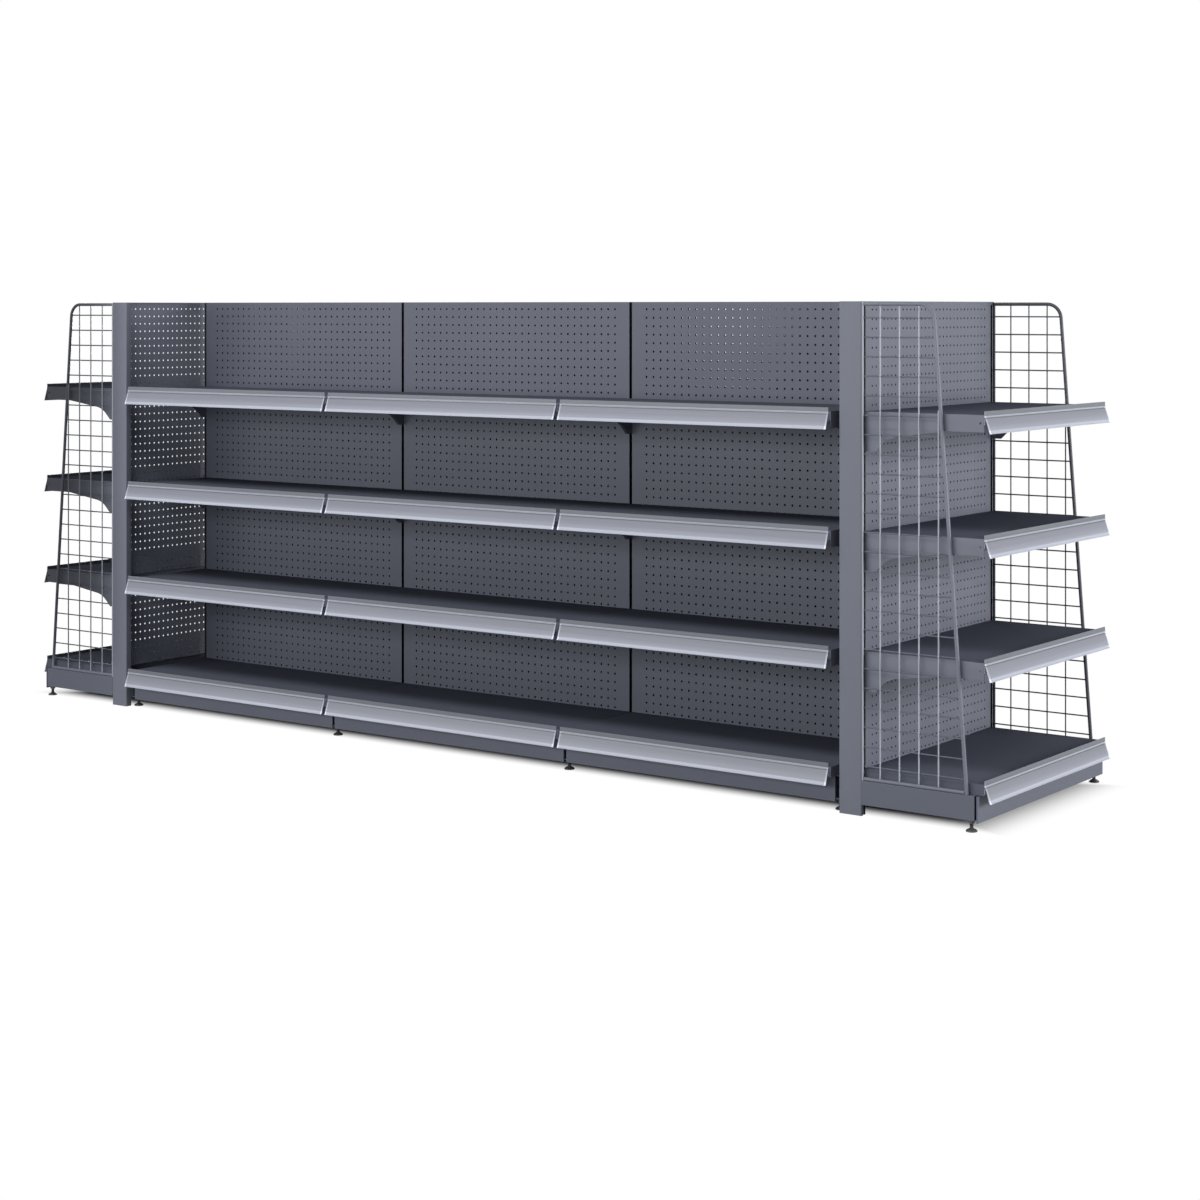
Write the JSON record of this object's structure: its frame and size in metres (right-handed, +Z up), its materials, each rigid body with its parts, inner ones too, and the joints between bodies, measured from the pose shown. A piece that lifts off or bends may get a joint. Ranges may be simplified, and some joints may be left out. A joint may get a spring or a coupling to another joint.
{
  "type": "gondola shelving",
  "caption": "Two-sided shop shelving run with perforated back panels, lift-off shelves with sloping price rails, and an end cap with mesh sides at each end.",
  "frame": {"origin": "on the floor under the middle of the run", "axes": "+X along the run, -Y towards the front side, +Z up"},
  "size_m": [3.6, 0.838, 1.35],
  "materials": {
    "powder_coat": "fine textured dark grey powder coat",
    "mesh_coat": "smooth dark grey powder coat on round wire",
    "price_rail": "satin light grey extruded plastic",
    "foot_plastic": "matte black moulding"
  },
  "bodies": {
    "frame": {"main_uprights": "powder_coat", "end_posts": "powder_coat", "base_legs": "powder_coat", "perforated_panels": "powder_coat", "kick_plates": "powder_coat", "base_decks": "powder_coat", "shelf_brackets": "powder_coat", "base_price_rails": "price_rail", "side_mesh_panels": "mesh_coat"},
    "front_bay1_shelf1": {"front_bay1_shelf1_deck": "powder_coat", "front_bay1_shelf1_rail": "price_rail"},
    "front_bay2_shelf1": {"front_bay2_shelf1_deck": "powder_coat", "front_bay2_shelf1_rail": "price_rail"},
    "front_bay3_shelf1": {"front_bay3_shelf1_deck": "powder_coat", "front_bay3_shelf1_rail": "price_rail"},
    "rear_bay1_shelf1": {"rear_bay1_shelf1": "powder_coat"},
    "rear_bay2_shelf1": {"rear_bay2_shelf1": "powder_coat"},
    "rear_bay3_shelf1": {"rear_bay3_shelf1": "powder_coat"},
    "left_end_shelf1": {"left_end_shelf1_deck": "powder_coat", "left_end_shelf1_rail": "price_rail"},
    "right_end_shelf1": {"right_end_shelf1_deck": "powder_coat", "right_end_shelf1_rail": "price_rail"},
    "front_bay1_shelf2": {"front_bay1_shelf2_deck": "powder_coat", "front_bay1_shelf2_rail": "price_rail"},
    "front_bay2_shelf2": {"front_bay2_shelf2_deck": "powder_coat", "front_bay2_shelf2_rail": "price_rail"},
    "front_bay3_shelf2": {"front_bay3_shelf2_deck": "powder_coat", "front_bay3_shelf2_rail": "price_rail"},
    "rear_bay1_shelf2": {"rear_bay1_shelf2": "powder_coat"},
    "rear_bay2_shelf2": {"rear_bay2_shelf2": "powder_coat"},
    "rear_bay3_shelf2": {"rear_bay3_shelf2": "powder_coat"},
    "left_end_shelf2": {"left_end_shelf2_deck": "powder_coat", "left_end_shelf2_rail": "price_rail"},
    "right_end_shelf2": {"right_end_shelf2_deck": "powder_coat", "right_end_shelf2_rail": "price_rail"},
    "front_bay1_shelf3": {"front_bay1_shelf3_deck": "powder_coat", "front_bay1_shelf3_rail": "price_rail"},
    "front_bay2_shelf3": {"front_bay2_shelf3_deck": "powder_coat", "front_bay2_shelf3_rail": "price_rail"},
    "front_bay3_shelf3": {"front_bay3_shelf3_deck": "powder_coat", "front_bay3_shelf3_rail": "price_rail"},
    "rear_bay1_shelf3": {"rear_bay1_shelf3": "powder_coat"},
    "rear_bay2_shelf3": {"rear_bay2_shelf3": "powder_coat"},
    "rear_bay3_shelf3": {"rear_bay3_shelf3": "powder_coat"},
    "left_end_shelf3": {"left_end_shelf3_deck": "powder_coat", "left_end_shelf3_rail": "price_rail"},
    "right_end_shelf3": {"right_end_shelf3_deck": "powder_coat", "right_end_shelf3_rail": "price_rail"},
    "foot_front_1": {"foot_front_1": "foot_plastic"},
    "foot_front_2": {"foot_front_2": "foot_plastic"},
    "foot_front_3": {"foot_front_3": "foot_plastic"},
    "foot_front_4": {"foot_front_4": "foot_plastic"},
    "foot_rear_1": {"foot_rear_1": "foot_plastic"},
    "foot_rear_2": {"foot_rear_2": "foot_plastic"},
    "foot_rear_3": {"foot_rear_3": "foot_plastic"},
    "foot_rear_4": {"foot_rear_4": "foot_plastic"},
    "foot_left_end_front": {"foot_left_end_front": "foot_plastic"},
    "foot_left_end_rear": {"foot_left_end_rear": "foot_plastic"},
    "foot_right_end_front": {"foot_right_end_front": "foot_plastic"},
    "foot_right_end_rear": {"foot_right_end_rear": "foot_plastic"}
  },
  "joints": [
    {"name": "front_bay1_shelf1_lift", "type": "slide", "parent": "frame", "child": "front_bay1_shelf1", "axis": [0, 0, 1], "range_m": [0, 0.08]},
    {"name": "front_bay2_shelf1_lift", "type": "slide", "parent": "frame", "child": "front_bay2_shelf1", "axis": [0, 0, 1], "range_m": [0, 0.08]},
    {"name": "front_bay3_shelf1_lift", "type": "slide", "parent": "frame", "child": "front_bay3_shelf1", "axis": [0, 0, 1], "range_m": [0, 0.08]},
    {"name": "rear_bay1_shelf1_lift", "type": "slide", "parent": "frame", "child": "rear_bay1_shelf1", "axis": [0, 0, 1], "range_m": [0, 0.08]},
    {"name": "rear_bay2_shelf1_lift", "type": "slide", "parent": "frame", "child": "rear_bay2_shelf1", "axis": [0, 0, 1], "range_m": [0, 0.08]},
    {"name": "rear_bay3_shelf1_lift", "type": "slide", "parent": "frame", "child": "rear_bay3_shelf1", "axis": [0, 0, 1], "range_m": [0, 0.08]},
    {"name": "left_end_shelf1_lift", "type": "slide", "parent": "frame", "child": "left_end_shelf1", "axis": [0, 0, 1], "range_m": [0, 0.08]},
    {"name": "right_end_shelf1_lift", "type": "slide", "parent": "frame", "child": "right_end_shelf1", "axis": [0, 0, 1], "range_m": [0, 0.08]},
    {"name": "front_bay1_shelf2_lift", "type": "slide", "parent": "frame", "child": "front_bay1_shelf2", "axis": [0, 0, 1], "range_m": [0, 0.08]},
    {"name": "front_bay2_shelf2_lift", "type": "slide", "parent": "frame", "child": "front_bay2_shelf2", "axis": [0, 0, 1], "range_m": [0, 0.08]},
    {"name": "front_bay3_shelf2_lift", "type": "slide", "parent": "frame", "child": "front_bay3_shelf2", "axis": [0, 0, 1], "range_m": [0, 0.08]},
    {"name": "rear_bay1_shelf2_lift", "type": "slide", "parent": "frame", "child": "rear_bay1_shelf2", "axis": [0, 0, 1], "range_m": [0, 0.08]},
    {"name": "rear_bay2_shelf2_lift", "type": "slide", "parent": "frame", "child": "rear_bay2_shelf2", "axis": [0, 0, 1], "range_m": [0, 0.08]},
    {"name": "rear_bay3_shelf2_lift", "type": "slide", "parent": "frame", "child": "rear_bay3_shelf2", "axis": [0, 0, 1], "range_m": [0, 0.08]},
    {"name": "left_end_shelf2_lift", "type": "slide", "parent": "frame", "child": "left_end_shelf2", "axis": [0, 0, 1], "range_m": [0, 0.08]},
    {"name": "right_end_shelf2_lift", "type": "slide", "parent": "frame", "child": "right_end_shelf2", "axis": [0, 0, 1], "range_m": [0, 0.08]},
    {"name": "front_bay1_shelf3_lift", "type": "slide", "parent": "frame", "child": "front_bay1_shelf3", "axis": [0, 0, 1], "range_m": [0, 0.08]},
    {"name": "front_bay2_shelf3_lift", "type": "slide", "parent": "frame", "child": "front_bay2_shelf3", "axis": [0, 0, 1], "range_m": [0, 0.08]},
    {"name": "front_bay3_shelf3_lift", "type": "slide", "parent": "frame", "child": "front_bay3_shelf3", "axis": [0, 0, 1], "range_m": [0, 0.08]},
    {"name": "rear_bay1_shelf3_lift", "type": "slide", "parent": "frame", "child": "rear_bay1_shelf3", "axis": [0, 0, 1], "range_m": [0, 0.08]},
    {"name": "rear_bay2_shelf3_lift", "type": "slide", "parent": "frame", "child": "rear_bay2_shelf3", "axis": [0, 0, 1], "range_m": [0, 0.08]},
    {"name": "rear_bay3_shelf3_lift", "type": "slide", "parent": "frame", "child": "rear_bay3_shelf3", "axis": [0, 0, 1], "range_m": [0, 0.08]},
    {"name": "left_end_shelf3_lift", "type": "slide", "parent": "frame", "child": "left_end_shelf3", "axis": [0, 0, 1], "range_m": [0, 0.08]},
    {"name": "right_end_shelf3_lift", "type": "slide", "parent": "frame", "child": "right_end_shelf3", "axis": [0, 0, 1], "range_m": [0, 0.08]},
    {"name": "foot_front_1_screw", "type": "slide", "parent": "frame", "child": "foot_front_1", "axis": [0, 0, -1], "range_m": [0, 0.015]},
    {"name": "foot_front_2_screw", "type": "slide", "parent": "frame", "child": "foot_front_2", "axis": [0, 0, -1], "range_m": [0, 0.015]},
    {"name": "foot_front_3_screw", "type": "slide", "parent": "frame", "child": "foot_front_3", "axis": [0, 0, -1], "range_m": [0, 0.015]},
    {"name": "foot_front_4_screw", "type": "slide", "parent": "frame", "child": "foot_front_4", "axis": [0, 0, -1], "range_m": [0, 0.015]},
    {"name": "foot_rear_1_screw", "type": "slide", "parent": "frame", "child": "foot_rear_1", "axis": [0, 0, -1], "range_m": [0, 0.015]},
    {"name": "foot_rear_2_screw", "type": "slide", "parent": "frame", "child": "foot_rear_2", "axis": [0, 0, -1], "range_m": [0, 0.015]},
    {"name": "foot_rear_3_screw", "type": "slide", "parent": "frame", "child": "foot_rear_3", "axis": [0, 0, -1], "range_m": [0, 0.015]},
    {"name": "foot_rear_4_screw", "type": "slide", "parent": "frame", "child": "foot_rear_4", "axis": [0, 0, -1], "range_m": [0, 0.015]},
    {"name": "foot_left_end_front_screw", "type": "slide", "parent": "frame", "child": "foot_left_end_front", "axis": [0, 0, -1], "range_m": [0, 0.015]},
    {"name": "foot_left_end_rear_screw", "type": "slide", "parent": "frame", "child": "foot_left_end_rear", "axis": [0, 0, -1], "range_m": [0, 0.015]},
    {"name": "foot_right_end_front_screw", "type": "slide", "parent": "frame", "child": "foot_right_end_front", "axis": [0, 0, -1], "range_m": [0, 0.015]},
    {"name": "foot_right_end_rear_screw", "type": "slide", "parent": "frame", "child": "foot_right_end_rear", "axis": [0, 0, -1], "range_m": [0, 0.015]}
  ]
}
